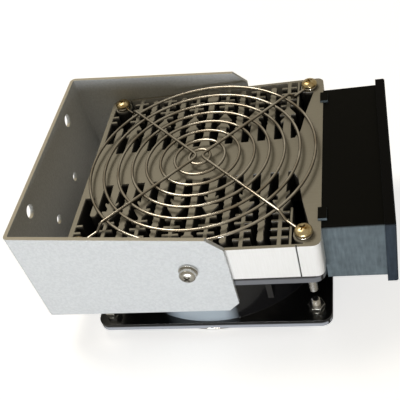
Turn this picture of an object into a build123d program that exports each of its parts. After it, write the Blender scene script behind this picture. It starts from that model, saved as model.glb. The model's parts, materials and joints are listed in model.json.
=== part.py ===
"""Fan heater for an enclosure, hung by two screws in a bent steel bracket.

The origin lies on the bracket's mounting face, at mid width and level with the swivel axis.
+X points away from the mounting face, towards the terminal box, and +Z is the way the air blows.
Every size is in millimetres.
"""

import os
from math import cos, radians, sin, sqrt

from build123d import *

# Bracket, bent from one sheet
reach = 81.5  # mounting face to swivel axis
sheet = 2.0
inner_bend = 0.8
leg_clearance = 0.3  # each leg to the side of the profile
web_top = 27.0
leg_top = 19.2  # the legs' upper edge has fallen to here at its corner cut
leg_base = -30.5
leg_end = 18.5  # past the swivel axis
top_corner_cut = 7.0
base_corner_cut = 5.4
upper_hole_spacing = 70.0
upper_hole_height = 18.0
upper_hole_radius = 3.5
lower_hole_spacing = 33.0
lower_hole_height = -7.2
lower_hole_radius = 2.5

# Heating profile, a slice of an aluminium extrusion
profile_side = 119.0
profile_height = 20.0
profile_corner = 3.5
screw_inset = 7.1  # corner screw to the two sides
boss_radius = 4.6
front_wall = 1.6
left_wall = 2.4
right_wall = 13.5  # at the band, and thinner towards the corners
right_wall_end = 5.0
slant_start = 5.4  # band to the places where the right wall's slant changes
slant_middle = 20.0
band_width = 24.0
fin_pitch = 8.35
fin_root = 4.4
seam_inset = 10.3
seam_width = 0.6
seam_depth = 1.0

# Fir fins, with barbs, an arrow head and crossbars
stem_width = 1.7
neck_half = 1.7
barb_rise = 14.0  # band to barbs
barb_half = 3.3
barb_drop = 1.2
barb_edge = 0.2
neck_length = 2.6
arrow_rise = 5.2  # barbs to arrow head
arrow_half = 4.0
arrow_length = 5.0
arrow_lip = 0.6
crossbar_start = 2.3
crossbar_span = 7.8
crossbar_thickness = 1.1
crossbar_pitch = 5.0

# Comb fins, with toothed sides and a round tip
comb_gap = 2.6  # tip to wall
comb_rise = 12.0  # band to first tooth
comb_pitch = 3.0
comb_tooth = 0.45
comb_end_half = 1.45

# Middle web, end fin and the small ribs near the corners
web_half = 1.5
web_flare_half = 2.9
web_flare = 8.0
web_taper = 8.0
end_fin_half = 1.6
end_fin_length = 21.4
flare_rise = 8.5  # band to the place where the left wall gets thin
left_tooth = 3.6
left_teeth_inset = 8.5
left_teeth_pitch = 4.6
corner_rib_inset = 5.8
corner_rib_width = 0.9
corner_rib_length = 22.5

# Axial fan
fan_height = 38.0
flange = 4.5
fan_corner = 5.5
barrel_wall = 1.7
bore_rim = 2.9  # bore to the flange's side
gusset_place = 32.8
gusset_height = 13.5
gusset_width = 2.8
gusset_inset = 2.5
strut_width = 5.0
strut_height = 4.0
strut_sink = 0.5
plate_thickness = 2.5
plate_step = 1.0  # the motor's plate is this much smaller than the hub

# Motor
shaft_radius = 2.5
shaft_clearance = 0.05
push_fit = 0.05
bearing_radius = 8.0
bearing_width = 5.0
shoulder = 1.5
tube_wall = 1.95
tube_lift = 5.5  # rotor's floor to the tube's end
upper_bearing_drop = 2.0
stator_lift = 6.0
stator_height = 15.0
pole_width = 8.0
pole_shoe = 2.5
pole_gap = 4.0
coil_wall = 2.5
coil_gap = 0.3
air_gap = 0.4
ring_section = 0.6
ring_overhang = 1.6
groove_depth = 0.4

# Rotor and impeller
hub_radius = 30.0
sleeve_wall = 2.35
cup_wall = 1.5
cup_round = 1.4
cup_boss = 6.0
rotor_lift = 1.5  # fan's base face to the rotor
rotor_drop = 3.0  # motor's plate to the rotor's rim
cage_wall = 4.6
sleeve_inset = 1.0
blade_count = 7
blade_gap = 1.2  # blade tip to bore
blade_root_angle = 52.0
blade_tip_angle = 32.0
root_chord = 25.0
tip_chord = 36.0
blade_thickness = 1.6
blade_camber = 3.2
blade_sweep = 14.0
blade_overlap = 3.0

# Finger guards
wire_radius = 0.75
ring_pitch = 7.35
ring_margin = 2.7  # outer ring to the profile's side
guard_rise = 3.4  # face to the rings' centre line
weld_sink = 0.35  # how far arms and rings melt into each other
eyelet_radius = 4.3
arm_bend = 4.0
arm_step_bend = 1.6
arm_step_out = 6.2
arm_step_in = 2.6
arm_gap = 0.3  # guard's centre to the corner that each arm's bend rounds off

# Fasteners
m4_radius = 2.0
m4_head_radius = 4.0
m4_head_height = 2.9
m4_across_flats = 7.0
m4_nut_height = 3.2
m4_washer_radius = 4.5
m4_spring_washer_radius = 3.6
m3_radius = 1.5
m3_head_radius = 2.8
m3_head_height = 2.2
hole_clearance = 0.2
thread_clearance = 0.05
long_screw = 40.0
short_screw = 14.0
pivot_screw = 16.0
box_screw = 8.0
earth_screw_length = 6.0
limiter_screw = 6.0
lid_screw = 12.0
tapped_depth = 6.5
washer_thickness = 1.0
spring_washer_thickness = 1.1
running_gap = 0.1  # washer to the turning leg

# Terminal box
box_length = 98.6
box_depth = 26.3
box_height = 34.2
box_drop = 0.2  # below the profile's upper face
box_wall = 2.5
box_corner = 1.5
box_screw_place = 41.5
box_screw_height = 2.0
lid_thickness = 4.6
lid_overhang = 2.0
lid_edge = 0.6
lid_recess = 2.4
lid_boss_radius = 3.4
lid_boss_drop = 3.4
lip_depth = 3.0
lip_wall = 1.6
lip_clearance = 0.2
tab_place = 41.5
tab_length = 7.0
tab_reach = 1.4
tab_thickness = 1.2

# What the box holds
cartridge_radius = 4.0
cartridge_length = 104.0
cartridge_place = 5.8
cartridge_clearance = 0.1
cartridge_stub = 1.5
cartridge_chamfer = 0.6
limiter_place = 24.3
limiter_height_place = -1.5
limiter_radius = 7.5
limiter_height = 7.0
limiter_screw_offset = 10.8
limiter_ear = 2.7
limiter_ear_thickness = 0.8
blade_terminal_width = 4.8
blade_terminal_length = 7.0
blade_terminal_place = 3.6
earth_place = -15.5
window_margin = 0.5
block_length = 21.0
block_height = 15.0
block_depth = 13.0
block_place = -33.5
block_lift = 0.5
block_floor = 2.5
ways = 3
clamp_width = 4.6
clamp_height = 8.8
clamp_depth = 8.0
clamp_clearance = 0.1
wire_hole = 1.4
clamp_screw_radius = 1.45
clamp_screw_head = 2.0
clamp_screw_head_height = 1.4
clamp_screw_length = 2.5

# Cable gland
gland_inset = 8.8  # lid's lip to the gland's axis
gland_place = 24.0
gland_thread = 6.0
gland_bore = 3.8
gland_across_flats = 15.0
gland_hex_height = 4.0
gland_sleeve = 3.5  # stands up inside the box
gland_stub = 3.8
gland_stub_radius = 5.6
gland_nut_height = 3.0
dome_gap = 0.2
dome_hex = 6.0
dome_length = 10.6
dome_radius = 7.4
dome_round = 2.6
dome_mouth = 4.2
dome_lip = 1.6
seal_length = 5.1
seal_radius = 5.2
cable_radius = 3.3

# Levels and places that follow
profile_top = profile_height / 2
fan_top = -profile_top
fan_base = fan_top - fan_height
side = profile_side / 2
hole = side - screw_inset
hole_spacing = 2 * hole
half_band = band_width / 2
wall_inner = side - front_wall
left_inner = side - left_wall
leg_inner = side + leg_clearance
leg_outer = leg_inner + sheet
side_x = reach + side  # the profile's right face, where the terminal box sits
box_top = profile_top - box_drop
box_base = box_top - box_height
box_middle = (box_top + box_base) / 2
right_face = Plane(origin=(side_x, 0, 0), x_dir=(0, 1, 0), z_dir=(1, 0, 0))
fan_axis = Axis((reach, 0, 0), (0, 0, 1))

os.makedirs("parts", exist_ok=True)


def level(height):
    """A horizontal plane at a height, with its centre on the fan's axis."""
    return Plane(origin=(reach, 0, height))


def write(piece, label):
    """Name a finished piece and write it as a STEP file."""
    piece.label = label
    export_step(piece, f"parts/{label}.step")


def corners(height):
    """The four screw places at a height."""
    return [Location((reach + x * hole, y * hole, height)) for x in (-1, 1) for y in (-1, 1)]


def both_sides(distance):
    """Places on the swivel axis at a distance each side, each facing outwards."""
    return [Plane(origin=(reach, s * distance, 0), z_dir=(0, s, 0)).location for s in (-1, 1)]


def towards_lid(distance, places):
    """Places on the terminal box's side, at a distance from the profile, facing the lid."""
    return [Plane(origin=(side_x + distance, y, z), z_dir=(1, 0, 0)).location for y, z in places]


def pan_screw(radius, head_radius, head_height, length):
    """A pan head screw with a cross recess, seated on z = 0 with its shank down -Z."""
    with BuildPart() as screw:
        with BuildSketch():
            Circle(head_radius)
        extrude(amount=head_height)
        chamfer(screw.edges().sort_by(Axis.Z)[-1], head_height * 0.4)
        with BuildSketch():
            Circle(radius)
        extrude(amount=-length)
        with BuildSketch(Plane.XY.offset(head_height)):
            Rectangle(head_radius * 1.1, head_radius * 0.28)
            Rectangle(head_radius * 0.28, head_radius * 1.1)
        extrude(amount=-head_height * 0.5, mode=Mode.SUBTRACT)
    return screw.part


def hex_nut(radius, across_flats, height):
    """A hexagon nut that stands on z = 0."""
    with BuildPart() as nut:
        with BuildSketch():
            RegularPolygon(across_flats / 2, 6, major_radius=False)
            Circle(radius + thread_clearance, mode=Mode.SUBTRACT)
        extrude(amount=height)
    return nut.part


def washer(outer, inner, thickness):
    """A flat washer that lies on z = 0."""
    with BuildPart() as ring:
        with BuildSketch():
            Circle(outer)
            Circle(inner, mode=Mode.SUBTRACT)
        extrude(amount=thickness)
    return ring.part


def group(piece, places, label):
    """Put the same piece at several places and write them as one node."""
    with BuildPart() as pieces:
        with Locations(*places):
            add(piece)
    write(pieces.part, label)


# Mounting bracket: a U in plan, trimmed to its side outline
with BuildPart() as mounting_bracket:
    with BuildSketch(Plane.XY.offset(leg_base)):
        with Locations(((reach + leg_end) / 2, 0)):
            Rectangle(reach + leg_end, 2 * leg_outer)
        with Locations((sheet + (reach + leg_end) / 2, 0)):
            Rectangle(reach + leg_end, 2 * leg_inner, mode=Mode.SUBTRACT)
    extrude(amount=web_top - leg_base)
    upright = mounting_bracket.edges().filter_by(Axis.Z)
    fillet(upright.group_by(Axis.X)[0], inner_bend + sheet)
    fillet(mounting_bracket.edges().filter_by(Axis.Z).filter_by_position(
        Axis.X, sheet - 0.1, sheet + 0.1), inner_bend)
    with BuildSketch(Plane.XZ):
        with BuildLine():
            Polyline(
                (0, leg_base),
                (reach + leg_end - base_corner_cut, leg_base),
                (reach + leg_end, leg_base + base_corner_cut),
                (reach + leg_end, leg_top - top_corner_cut),
                (reach + leg_end - top_corner_cut, leg_top),
                (sheet + inner_bend, web_top),
                (0, web_top),
                close=True,
            )
        make_face()
    extrude(amount=leg_outer, both=True, mode=Mode.INTERSECT)
    with BuildSketch(Plane.YZ):
        with Locations(*[(s * upper_hole_spacing / 2, upper_hole_height) for s in (-1, 1)]):
            Circle(upper_hole_radius)
        with Locations(*[(s * lower_hole_spacing / 2, lower_hole_height) for s in (-1, 1)]):
            Circle(lower_hole_radius)
    extrude(amount=sheet, mode=Mode.SUBTRACT)
    with BuildSketch(Plane.XZ):
        with Locations((reach, 0)):
            Circle(m4_radius + hole_clearance)
    extrude(amount=leg_outer, both=True, mode=Mode.SUBTRACT)
write(mounting_bracket.part, "mounting_bracket")

# Swivel screws with their washers, one stack outside each leg
stack = leg_outer + running_gap
screw_seat = stack + washer_thickness + spring_washer_thickness
m4_hole = m4_radius + hole_clearance
flat_ring = washer(m4_washer_radius, m4_hole, washer_thickness)
spring_ring = washer(m4_spring_washer_radius, m4_hole, spring_washer_thickness)
m4_pivot = pan_screw(m4_radius, m4_head_radius, m4_head_height, pivot_screw)
group(m4_pivot, both_sides(screw_seat), "pivot_screws")
group(flat_ring, both_sides(stack), "pivot_washers")
group(spring_ring, both_sides(stack + washer_thickness), "pivot_spring_washers")

# Fir fin: a stem from band to wall with barbs, an arrow head and crossbars, drawn towards +Y
barb_level = half_band + barb_rise
arrow_level = barb_level + arrow_rise
arrow_tip = arrow_level + arrow_length
first_crossbar = arrow_tip + crossbar_start
crossbars = 1 + int((wall_inner - first_crossbar) / crossbar_pitch)
with BuildSketch() as fir_fin:
    with BuildLine():
        Polyline(
            (0, half_band - 1),
            (fin_root / 2, half_band - 1),
            (fin_root / 2, half_band),
            (neck_half, barb_level),
            (barb_half, barb_level - barb_drop),
            (barb_half, barb_level + barb_edge),
            (neck_half, barb_level + neck_length),
            (neck_half, arrow_level - arrow_lip),
            (arrow_half, arrow_level - arrow_lip),
            (arrow_half, arrow_level),
            (stem_width / 2, arrow_tip),
            (stem_width / 2, wall_inner + front_wall / 2),
            (0, wall_inner + front_wall / 2),
            close=True,
        )
    make_face()
    mirror(about=Plane.YZ)
    with Locations(*[(0, first_crossbar + i * crossbar_pitch) for i in range(crossbars)]):
        Rectangle(crossbar_span, crossbar_thickness)

# Comb fin: a tapered blade with toothed sides and a round tip short of the wall
comb_tip = wall_inner - comb_gap
comb_start = half_band + comb_rise
comb_steps = int((comb_tip - comb_end_half - comb_start) / comb_pitch)


def comb_half(y):
    """Half the blade's width at a distance from the band's middle."""
    share = (y - half_band) / (comb_tip - half_band)
    return fin_root / 2 + (comb_end_half - fin_root / 2) * share


with BuildSketch() as comb_fin:
    teeth = []
    for i in range(comb_steps):
        tooth_y = comb_start + i * comb_pitch
        teeth.append((comb_half(tooth_y), tooth_y))
        teeth.append((comb_half(tooth_y) - comb_tooth, tooth_y + comb_pitch * 0.3))
    with BuildLine():
        Polyline(
            (0, half_band - 1),
            (fin_root / 2, half_band - 1),
            (fin_root / 2, half_band),
            *teeth,
            (comb_end_half, comb_tip - comb_end_half),
        )
        RadiusArc((comb_end_half, comb_tip - comb_end_half), (0, comb_tip), -comb_end_half)
        Polyline((0, comb_tip), (0, half_band - 1))
    make_face()
    mirror(about=Plane.YZ)

# Fins of one half: a web in the middle, fir and comb fins by turns, and an end fin at the left
last_left = int((left_inner - end_fin_half) / fin_pitch)
last_right = int((side - right_wall) / fin_pitch)
fins = [n for n in range(1 - last_left, last_right + 1) if n != 0]
end_fin = last_left * fin_pitch
with BuildSketch() as half_fins:
    with BuildLine():
        Polyline(
            (-web_flare_half, half_band - 1),
            (-web_half, half_band + web_taper),
            (-web_half, wall_inner - web_flare - 1),
            (-web_flare_half, wall_inner - web_flare),
            (-web_flare_half, side - 0.5),
            (0, side - 0.5),
            (0, half_band - 1),
            close=True,
        )
    make_face()
    mirror(about=Plane.YZ)
    with Locations(*[(n * fin_pitch, 0) for n in fins if n % 2]):
        add(fir_fin.sketch)
    with Locations(*[(n * fin_pitch, 0) for n in fins if n % 2 == 0]):
        add(comb_fin.sketch)
    with Locations((-end_fin, half_band - 1 + end_fin_length / 2)):
        RectangleRounded(2 * end_fin_half, end_fin_length + 2, 1.5)
    first_tooth = hole - left_teeth_inset
    with Locations(*[(-left_inner + 1.5, y) for y in (first_tooth, first_tooth - left_teeth_pitch)]):
        Rectangle(left_tooth, crossbar_thickness)
    with Locations((hole - corner_rib_inset, side - 1 - corner_rib_length / 2)):
        Rectangle(corner_rib_width, corner_rib_length)

# Window that the fins of one half stand in: its right side slants, its left side has a step
slant = (right_wall - right_wall_end) / 3
with BuildSketch() as half_window:
    with BuildLine():
        Polyline(
            (-left_inner, half_band + flare_rise),
            (-end_fin - end_fin_half, half_band + flare_rise),
            (-end_fin - end_fin_half, half_band),
            (side - right_wall, half_band),
            (side - right_wall + slant, half_band + slant_start),
            (side - right_wall + 1.8 * slant, half_band + slant_middle),
            (side - right_wall_end, hole - boss_radius - 0.4),
            (side - right_wall_end, wall_inner),
            (-left_inner, wall_inner),
            close=True,
        )
    make_face()

# Everything drilled into the profile: cartridge bores from the right, and tapped holes
cartridges = [(s * cartridge_place, 0) for s in (-1, 1)]
limiter_screws = [(limiter_place + s * limiter_screw_offset, limiter_height_place) for s in (-1, 1)]
block_base = box_base + box_wall + block_lift
block_top = block_base + block_height
box_screws = [
    (block_place, block_top + m4_head_radius + 1.7),
    (box_screw_place, box_screw_height),
]
with BuildPart() as drillings:
    with BuildSketch(right_face):
        with Locations(*cartridges):
            Circle(cartridge_radius + cartridge_clearance)
    extrude(amount=-cartridge_length - 1)
    with BuildSketch(right_face):
        with Locations((earth_place, 0), *box_screws):
            Circle(m4_radius + thread_clearance)
        with Locations(*limiter_screws):
            Circle(m3_radius + thread_clearance)
    extrude(amount=-tapped_depth)
    for place in both_sides(side):
        with BuildSketch(Plane(place)):
            Circle(m4_radius + thread_clearance)
        extrude(amount=screw_seat - side - pivot_screw - 0.5)

# Heating profile
with BuildPart() as heating_profile:
    with BuildSketch(level(-profile_top)):
        RectangleRounded(profile_side, profile_side, profile_corner)
        add(half_window.sketch, mode=Mode.SUBTRACT)
        mirror(half_window.sketch, about=Plane.XZ, mode=Mode.SUBTRACT)
        add(half_fins.sketch)
        mirror(half_fins.sketch, about=Plane.XZ)
        with GridLocations(hole_spacing, hole_spacing, 2, 2):
            Circle(boss_radius)
        with GridLocations(hole + wall_inner, hole + wall_inner, 2, 2):
            Rectangle(wall_inner - hole + 0.4, wall_inner - hole + 0.4)
        with GridLocations(hole_spacing, hole_spacing, 2, 2):
            Circle(m4_hole, mode=Mode.SUBTRACT)
        with GridLocations(profile_side - 2 * seam_inset, profile_side, 2, 2):
            Rectangle(seam_width, 2 * seam_depth, mode=Mode.SUBTRACT)
    extrude(amount=profile_height)
    add(drillings.part, mode=Mode.SUBTRACT)
write(heating_profile.part, "heating_profile")

# Heating cartridges, pushed into the band from the box side
with BuildPart() as heating_cartridges:
    with BuildSketch(right_face.offset(cartridge_stub)):
        with Locations(*cartridges):
            Circle(cartridge_radius)
    extrude(amount=-cartridge_length)
    chamfer(heating_cartridges.faces().sort_by(Axis.X)[:2].edges(), cartridge_chamfer)
write(heating_cartridges.part, "heating_cartridges")

# Finger guard: rings, two bent arms welded over them and an eyelet at each screw
outer_ring = side - ring_margin
ring_count = round(outer_ring / ring_pitch)
ring_radii = [outer_ring - i * ring_pitch for i in range(ring_count)]
arm_rise = guard_rise + wire_radius * sqrt(3) - weld_sink
arm_end = sqrt(2) * hole - m4_hole - 0.3
step_low = outer_ring + arm_step_out
step_high = outer_ring + arm_step_in


def diagonal(distance, sign, height):
    """A point on the diagonal towards a right-hand corner of the guard."""
    return (distance / sqrt(2), sign * distance / sqrt(2), height)


with BuildPart() as finger_guard:
    with BuildSketch(Plane.XZ):
        with Locations(*[(radius, guard_rise) for radius in ring_radii]):
            RegularPolygon(wire_radius, 6)
    revolve(axis=Axis.Z)
    for turn in (0, 180):
        with BuildLine(Plane.XY.rotated((0, 0, turn))) as arm_line:
            FilletPolyline(
                diagonal(arm_end, -1, wire_radius),
                diagonal(step_low, -1, wire_radius),
                diagonal(step_high, -1, arm_rise),
                (arm_gap, 0, arm_rise),
                diagonal(step_high, 1, arm_rise),
                diagonal(step_low, 1, wire_radius),
                diagonal(arm_end, 1, wire_radius),
                radius=[arm_step_bend, arm_step_bend, arm_bend, arm_step_bend, arm_step_bend],
            )
        with BuildSketch(Plane(origin=arm_line.line @ 0, z_dir=arm_line.line % 0)):
            RegularPolygon(wire_radius, 6)
        sweep()
    with BuildSketch():
        with GridLocations(hole_spacing, hole_spacing, 2, 2):
            Circle(eyelet_radius)
            Circle(m4_hole, mode=Mode.SUBTRACT)
    extrude(amount=2 * wire_radius)
group(finger_guard.part, [level(profile_top).location], "upper_finger_guard")
under_fan = Plane(origin=(reach, 0, fan_base), z_dir=(0, 0, -1))
group(finger_guard.part, [under_fan.location], "lower_finger_guard")

# Screws and nuts of the guards: long screws from above, short ones from below
upper_seat = profile_top + 2 * wire_radius
lower_seat = fan_base - 2 * wire_radius
lower_flange_top = fan_base + flange
m4_long = pan_screw(m4_radius, m4_head_radius, m4_head_height, long_screw)
m4_short = pan_screw(m4_radius, m4_head_radius, m4_head_height, short_screw)
m4_nut = hex_nut(m4_radius, m4_across_flats, m4_nut_height)
from_below = [place * Location((0, 0, 0), (180, 0, 0)) for place in corners(lower_seat)]
group(m4_long, corners(upper_seat), "upper_guard_screws")
group(m4_nut, corners(fan_top - flange - m4_nut_height), "upper_guard_nuts")
group(m4_short, from_below, "lower_guard_screws")
group(spring_ring, corners(lower_flange_top), "lower_guard_washers")
group(m4_nut, corners(lower_flange_top + spring_washer_thickness), "lower_guard_nuts")

# Fan housing: two square flanges on a barrel, with gussets, and the motor's plate on struts
bore_radius = side - bore_rim
barrel_radius = bore_radius + barrel_wall
plate_radius = hub_radius - plate_step
strut_top = fan_top - strut_sink
plate_base = strut_top - plate_thickness
gusset_length = side - bore_radius / sqrt(2)
inset_side = profile_side - 2 * gusset_inset
with BuildPart() as fan_housing:
    for height in (fan_base, fan_top - flange):
        with BuildSketch(level(height)):
            RectangleRounded(profile_side, profile_side, fan_corner)
            with GridLocations(hole_spacing, hole_spacing, 2, 2):
                Circle(m4_hole, mode=Mode.SUBTRACT)
        extrude(amount=flange)
    with BuildSketch(level(fan_base)):
        Circle(barrel_radius)
    extrude(amount=fan_height)
    with BuildSketch(level(fan_top - flange - gusset_height)):
        with GridLocations(2 * gusset_place, inset_side - gusset_length, 2, 2):
            Rectangle(gusset_width, gusset_length)
        with GridLocations(inset_side - gusset_length, 2 * gusset_place, 2, 2):
            Rectangle(gusset_length, gusset_width)
    extrude(amount=gusset_height)
    with BuildSketch(level(fan_base)):
        Circle(bore_radius)
    extrude(amount=fan_height, mode=Mode.SUBTRACT)
    with BuildSketch(level(plate_base)):
        Circle(plate_radius)
    extrude(amount=plate_thickness)
    with BuildSketch(level(strut_top - strut_height)):
        with PolarLocations((plate_radius + bore_radius) / 2, 4, start_angle=45):
            Rectangle(bore_radius - plate_radius + 3, strut_width)
    extrude(amount=strut_height)
write(fan_housing.part, "fan_housing")

# Bearing tube under the plate, with a seat for a bearing at each end
cup_bottom = fan_base + rotor_lift
cup_top = plate_base - rotor_drop
tube_bottom = cup_bottom + tube_lift
tube_radius = bearing_radius + push_fit + tube_wall
upper_bearing = plate_base - upper_bearing_drop
with BuildPart() as bearing_tube:
    with BuildSketch(level(tube_bottom)):
        Circle(tube_radius)
    extrude(amount=plate_base - tube_bottom)
    with BuildSketch(level(tube_bottom)):
        Circle(bearing_radius + push_fit)
    extrude(amount=bearing_width, mode=Mode.SUBTRACT)
    with BuildSketch(level(tube_bottom)):
        Circle(bearing_radius - shoulder)
    extrude(amount=upper_bearing - tube_bottom, mode=Mode.SUBTRACT)
    with BuildSketch(level(upper_bearing - bearing_width)):
        Circle(bearing_radius + push_fit)
    extrude(amount=plate_base - upper_bearing + bearing_width, mode=Mode.SUBTRACT)
write(bearing_tube.part, "bearing_tube")

# Ball bearings, each closed by its seals
bearing = washer(bearing_radius, shaft_radius + shaft_clearance, bearing_width)
bearing_levels = [level(tube_bottom).location, level(upper_bearing - bearing_width).location]
group(bearing, bearing_levels, "ball_bearings")

# Stator: a stack of sheets with four poles, and a coil round each pole
cup_outer = hub_radius - sleeve_wall - push_fit
cup_inner = cup_outer - cup_wall
cage_outer = cup_inner - push_fit
cage_inner = cage_outer - cage_wall
stator_radius = cage_inner - air_gap
stator_base = tube_bottom + stator_lift
stator_root = tube_radius + pole_shoe
with BuildPart() as stator_stack:
    with BuildSketch(level(stator_base)):
        Circle(stator_radius)
        Circle(stator_radius - pole_shoe, mode=Mode.SUBTRACT)
        with PolarLocations(stator_radius, 4, start_angle=45):
            Rectangle(3 * pole_shoe, pole_gap, mode=Mode.SUBTRACT)
        with PolarLocations((tube_radius + stator_radius) / 2, 4):
            Rectangle(stator_radius - tube_radius - 1, pole_width)
        Circle(stator_root)
        Circle(tube_radius + push_fit, mode=Mode.SUBTRACT)
    extrude(amount=stator_height)
write(stator_stack.part, "stator_stack")

coil_start = stator_root + coil_gap
coil_high = stator_height + 2 * coil_gap
coil_wide = pole_width + 2 * coil_gap
coil_corner = coil_wide / 2 + coil_wall
coil_end = sqrt((stator_radius - pole_shoe) ** 2 - coil_corner**2) - coil_gap  # inside the shoes
coil_plane = Plane(
    origin=(reach + coil_start, 0, stator_base + stator_height / 2), z_dir=(1, 0, 0))
with BuildPart() as stator_windings:
    with BuildSketch(coil_plane):
        RectangleRounded(coil_high + 2 * coil_wall, coil_wide + 2 * coil_wall, coil_wall)
        Rectangle(coil_high, coil_wide, mode=Mode.SUBTRACT)
    extrude(amount=coil_end - coil_start)
    coil = stator_windings.part
    for turn in (90, 180, 270):
        add(coil.rotate(fan_axis, turn))
write(stator_windings.part, "stator_windings")

# Rotor cup: open upwards, with a boss in its floor that the shaft is pressed into
with BuildPart() as rotor_cup:
    with BuildSketch(level(cup_bottom)):
        Circle(cup_outer)
    extrude(amount=cup_top - cup_bottom)
    fillet(rotor_cup.edges().sort_by(Axis.Z)[0], cup_round)
    with BuildSketch(level(cup_bottom + cup_wall)):
        Circle(cup_inner)
        Circle(cup_boss, mode=Mode.SUBTRACT)
    extrude(amount=cup_top - cup_bottom, mode=Mode.SUBTRACT)
    with BuildSketch(level(tube_bottom - 1)):
        Circle(cup_boss + 1)
    extrude(amount=cup_top - tube_bottom + 2, mode=Mode.SUBTRACT)
    with BuildSketch(level(cup_bottom)):
        Circle(shaft_radius + push_fit)
    extrude(amount=cup_top - cup_bottom, mode=Mode.SUBTRACT)
write(rotor_cup.part, "rotor_cup")

# Shaft with its groove, and the retaining ring in it above the upper bearing
ring_base = upper_bearing + 0.3
with BuildPart() as fan_shaft:
    with BuildSketch(level(cup_bottom)):
        Circle(shaft_radius)
    extrude(amount=plate_base - 0.5 - cup_bottom)
    with BuildSketch(level(ring_base)):
        Circle(shaft_radius)
        Circle(shaft_radius - groove_depth, mode=Mode.SUBTRACT)
    extrude(amount=ring_section + 0.1, mode=Mode.SUBTRACT)
write(fan_shaft.part, "fan_shaft")

with BuildPart() as shaft_retaining_ring:
    with BuildSketch(level(ring_base + 0.05)):
        Circle(shaft_radius + ring_overhang)
        Circle(shaft_radius - groove_depth + push_fit, mode=Mode.SUBTRACT)
        with Locations((shaft_radius, 0)):
            Rectangle(2 * shaft_radius, shaft_radius, mode=Mode.SUBTRACT)
    extrude(amount=ring_section)
write(shaft_retaining_ring.part, "shaft_retaining_ring")

# Squirrel cage inside the rotor cup
with BuildPart() as rotor_cage:
    with BuildSketch(level(stator_base)):
        Circle(cage_outer)
        Circle(cage_inner, mode=Mode.SUBTRACT)
    extrude(amount=stator_height)
write(rotor_cage.part, "rotor_cage")

# Impeller: a sleeve with swept blades, each lofted from root to tip and trimmed to the bore
tip_radius = bore_radius - blade_gap
sleeve_bottom = cup_bottom + sleeve_inset
sleeve_top = cup_top - sleeve_inset
blade_middle = (sleeve_bottom + sleeve_top) / 2
blade_root = hub_radius - blade_overlap
with BuildPart() as blade_stock:
    for share in (0, 0.5, 1):
        pitch = radians(blade_root_angle + share * (blade_tip_angle - blade_root_angle))
        chord = root_chord + share * (tip_chord - root_chord)
        section = Plane(
            origin=(
                reach + blade_root + share * (tip_radius + 1 - blade_root),
                blade_sweep * (share - 0.5),
                blade_middle,
            ),
            x_dir=(0, cos(pitch), sin(pitch)),
            z_dir=(1, 0, 0),
        )
        with BuildSketch(section):
            with BuildLine():
                ThreePointArc(
                    (-chord / 2, 0), (0, blade_camber + blade_thickness), (chord / 2, 0))
                ThreePointArc((chord / 2, 0), (0, blade_camber), (-chord / 2, 0))
            make_face()
    loft()
with BuildPart() as impeller:
    with BuildSketch(level(sleeve_bottom)):
        Circle(tip_radius)
        Circle(hub_radius - sleeve_wall / 2, mode=Mode.SUBTRACT)
    extrude(amount=sleeve_top - sleeve_bottom)
    add(blade_stock.part, mode=Mode.INTERSECT)
    blade = impeller.part
    for n in range(1, blade_count):
        add(blade.rotate(fan_axis, n * 360 / blade_count))
    with BuildSketch(level(sleeve_bottom)):
        Circle(hub_radius)
        Circle(hub_radius - sleeve_wall, mode=Mode.SUBTRACT)
    extrude(amount=sleeve_top - sleeve_bottom)
write(impeller.part, "impeller")

# Terminal box: a tray with its floor on the profile, hooked over the profile's upper edge
inner_length = box_length - 2 * box_wall
inner_height = box_height - 2 * box_wall
boss_y = inner_length / 2 - lid_boss_radius
lid_bosses = [
    (-boss_y, box_top - box_wall - lid_boss_radius),
    (boss_y, box_base + box_wall + lid_boss_radius),
]
window_low = earth_place - m4_washer_radius - window_margin
window_high = limiter_screws[1][0] + limiter_ear + window_margin
window_height = 2 * limiter_radius + 2 * window_margin
gland_x = side_x + box_depth - lip_depth - gland_inset
tab_top = profile_top + tab_thickness
with BuildPart() as terminal_box:
    with BuildSketch(right_face):
        with Locations((0, box_middle)):
            RectangleRounded(box_length, box_height, box_corner)
    extrude(amount=box_depth)
    with BuildSketch(right_face.offset(box_wall)):
        with Locations((0, box_middle)):
            Rectangle(inner_length, inner_height)
    extrude(amount=box_depth - box_wall, mode=Mode.SUBTRACT)
    with BuildSketch(right_face.offset(box_wall)):
        with Locations(*lid_bosses):
            Circle(lid_boss_radius)
    extrude(amount=box_depth - box_wall - lid_boss_drop)
    with BuildSketch(right_face.offset(box_depth - lid_boss_drop)):
        with Locations(*lid_bosses):
            Circle(m3_radius + thread_clearance)
    extrude(amount=-lid_screw, mode=Mode.SUBTRACT)
    with BuildSketch(right_face):
        with Locations(((window_low + window_high) / 2, limiter_height_place)):
            Rectangle(window_high - window_low, window_height)
        with Locations(*box_screws):
            Circle(m4_hole)
    extrude(amount=box_wall, mode=Mode.SUBTRACT)
    with BuildSketch(Plane(origin=(gland_x, gland_place, box_base))):
        Circle(gland_thread + hole_clearance)
    extrude(amount=box_wall, mode=Mode.SUBTRACT)
    for y in (-tab_place, tab_place):
        with BuildSketch(Plane.XZ.offset(-y)):
            with BuildLine():
                Polyline(
                    (side_x, box_top - 1),
                    (side_x, profile_top),
                    (side_x - tab_reach, profile_top),
                    (side_x - tab_reach, tab_top),
                    (side_x + box_wall, tab_top),
                    (side_x + box_wall, box_top - 1),
                    close=True,
                )
            make_face()
        extrude(amount=tab_length / 2, both=True)
write(terminal_box.part, "terminal_box")

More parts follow.
